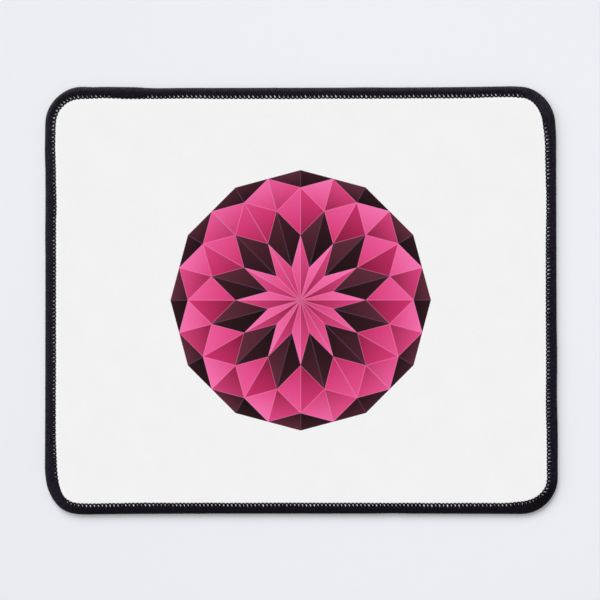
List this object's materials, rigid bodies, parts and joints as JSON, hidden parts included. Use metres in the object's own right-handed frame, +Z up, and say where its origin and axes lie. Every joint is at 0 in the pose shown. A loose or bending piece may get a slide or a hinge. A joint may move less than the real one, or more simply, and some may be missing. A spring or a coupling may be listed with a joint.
{
  "type": "mouse pad",
  "caption": "Flat rectangular mouse pad with rounded corners: a printed cloth face bonded to a foam rubber base, with an overlocked thread edge.",
  "frame": {"origin": "middle of the underside, on the table", "axes": "+X along the long side, to the right as the print is read; +Y along the short side, away from the user; +Z up out of the cloth face"},
  "size_m": [0.24, 0.2, 0.0033],
  "materials": {
    "foam_rubber": "black open foam rubber, matt, with a fine non-slip grain",
    "printed_cloth": "white knitted polyester, smooth and matt, with a picture dyed into its middle",
    "seam_thread": "black polyester sewing thread with a soft sheen"
  },
  "bodies": {
    "root": {"rubber_base": "foam_rubber", "printed_cloth": "printed_cloth", "needle_thread": "seam_thread", "upper_looper_thread": "seam_thread", "lower_looper_thread": "seam_thread"}
  },
  "joints": []
}
